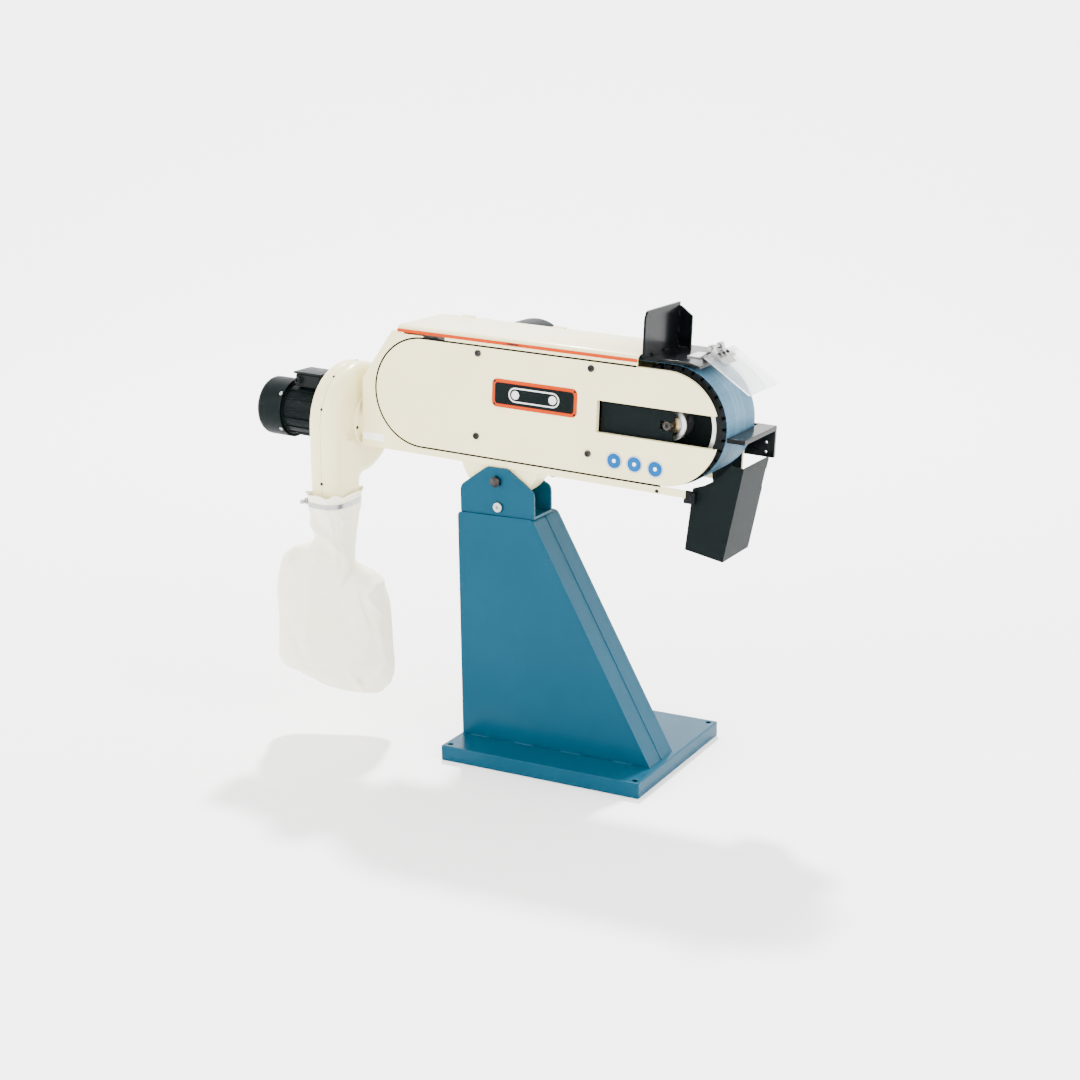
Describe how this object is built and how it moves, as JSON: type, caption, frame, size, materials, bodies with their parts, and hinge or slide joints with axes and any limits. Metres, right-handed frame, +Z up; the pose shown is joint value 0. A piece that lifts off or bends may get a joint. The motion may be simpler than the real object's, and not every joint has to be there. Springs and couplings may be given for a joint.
{
  "type": "pedestal belt grinder",
  "caption": "Floor-standing belt grinder: an abrasive belt on a contact wheel and a drive wheel in a tilting enclosed head, with its own dust blower and bag, on a folded sheet-metal stand.",
  "frame": {"origin": "on the floor, under the middle of the machine's bounding box", "axes": "+X along the belt towards the contact wheel, +Y away from the door side towards the main motor, +Z up"},
  "size_m": [1.233, 0.6546, 1.0402],
  "materials": {
    "blue_paint": "gloss",
    "cream_paint": "gloss",
    "black_paint": "gloss",
    "charcoal_paint": "satin",
    "motor_casting": "satin",
    "bright_steel": "satin",
    "dark_steel": "satin",
    "wheel_aluminium": "satin",
    "tyre_rubber": "matte",
    "abrasive_cloth": "matte",
    "bag_cotton": "matte",
    "clear_shield": "polished",
    "black_plastic": "matte",
    "orange_trim": "gloss",
    "green_plastic": "gloss",
    "red_plastic": "gloss"
  },
  "bodies": {
    "stand": {"base_tray": "blue_paint", "pedestal_front": "blue_paint", "pedestal_rear": "blue_paint", "ear_channel": "blue_paint", "pivot_bolt": "dark_steel", "tilt_lock_screw": "bright_steel", "switch_box": "black_plastic"},
    "start": {"start_button": "green_plastic"},
    "stop": {"stop_button": "red_plastic"},
    "knob": {"tilt_knob": "black_plastic"},
    "drive": {"drive_wheel": "wheel_aluminium", "motor_shaft": "bright_steel", "motor_fan": "black_plastic"},
    "tension": {"tension_fork": "charcoal_paint", "contact_axle": "bright_steel"},
    "contact_wheel": {"contact_hub": "wheel_aluminium", "contact_tyre": "tyre_rubber", "front_bearing": "bright_steel", "rear_bearing": "bright_steel"},
    "lever": {"tension_lever": "black_paint"},
    "top_lid": {"lid": "cream_paint", "lid_trim": "orange_trim"},
    "shield": {"eye_shield": "clear_shield", "shield_leaf": "bright_steel"},
    "rest": {"work_rest": "black_paint"},
    "blower_fan": {"impeller": "bright_steel", "fan_motor_shaft": "bright_steel"},
    "head": {"tilt_bracket": "cream_paint", "back_plate": "cream_paint", "case_shell": "cream_paint", "front_door": "cream_paint", "door_screw_1": "dark_steel", "door_screw_2": "dark_steel", "door_screw_3": "dark_steel", "door_screw_4": "dark_steel", "abrasive_belt": "abrasive_cloth", "platen": "bright_steel", "lid_hinge_rod": "bright_steel", "guide_tube": "charcoal_paint", "tension_spring": "bright_steel", "motor_flange": "motor_casting", "motor_body": "motor_casting", "motor_terminal_box": "black_plastic", "motor_cowl": "charcoal_paint", "stop_base": "black_paint", "top_stop": "black_paint", "shield_bracket": "bright_steel", "rest_screw_1": "bright_steel", "rest_screw_2": "bright_steel", "spark_chute": "charcoal_paint", "chute_bracket": "charcoal_paint", "blower_front": "cream_paint", "blower_rear": "cream_paint", "blower_inlet": "cream_paint", "fan_motor_body": "motor_casting", "fan_motor_cowl": "charcoal_paint", "fan_terminal_box": "black_plastic", "dust_bag": "bag_cotton", "clamp_band": "bright_steel", "name_plate": "orange_trim"}
  },
  "joints": [
    {"name": "head_tilt", "type": "hinge", "parent": "stand", "child": "head", "pos_m": [0.03343, -0.16975, 0.645], "axis": [0, 1, 0], "range_deg": [-8, 25]},
    {"name": "tilt_knob_turn", "type": "hinge", "parent": "stand", "child": "knob", "pos_m": [0.03343, 0.00625, 0.645], "axis": [0, 1, 0], "continuous": true},
    {"name": "start_press", "type": "slide", "parent": "stand", "child": "start", "axis": [0, -1, 0], "range_m": [0, 0.0035], "stiffness_N_per_m": 400, "springref_m": -0.002},
    {"name": "stop_press", "type": "slide", "parent": "stand", "child": "stop", "axis": [0, -1, 0], "range_m": [0, 0.0035], "stiffness_N_per_m": 400, "springref_m": -0.002},
    {"name": "drive_spin", "type": "hinge", "parent": "head", "child": "drive", "pos_m": [-0.1591, -0.10975, 0.82932], "axis": [0, 1, 0], "continuous": true},
    {"name": "belt_tension", "type": "slide", "parent": "head", "child": "tension", "axis": [0.9988, 0, -0.0489], "range_m": [-0.02, 0], "stiffness_N_per_m": 1500, "springref_m": 0.02, "deforming": ["tension_spring"]},
    {"name": "contact_spin", "type": "hinge", "parent": "tension", "child": "contact_wheel", "pos_m": [0.43579, -0.10975, 0.80023], "axis": [0, 1, 0], "continuous": true},
    {"name": "lever_turn", "type": "hinge", "parent": "head", "child": "lever", "pos_m": [0.15463, -0.02575, 0.87135], "axis": [0, 1, 0], "range_deg": [0, 90.01]},
    {"name": "lid_open", "type": "hinge", "parent": "head", "child": "top_lid", "pos_m": [0.04877, -0.01975, 0.95862], "axis": [-0.9988, 0, 0.0489], "range_deg": [0, 100]},
    {"name": "shield_lift", "type": "hinge", "parent": "head", "child": "shield", "pos_m": [0.51148, -0.10975, 0.96203], "axis": [0, -1, 0], "range_deg": [0, 100]},
    {"name": "rest_slide", "type": "slide", "parent": "head", "child": "rest", "axis": [0.9988, 0, -0.0489], "range_m": [0, 0.02]},
    {"name": "blower_spin", "type": "hinge", "parent": "head", "child": "blower_fan", "pos_m": [-0.38211, -0.17475, 0.74642], "axis": [0.9988, 0, -0.0489], "continuous": true}
  ],
  "couplings": [
    {"joint": "contact_spin", "follows": "drive_spin", "ratio": 1},
    {"joint": "lever_turn", "follows": "belt_tension", "rad_per_m": -78.54}
  ]
}
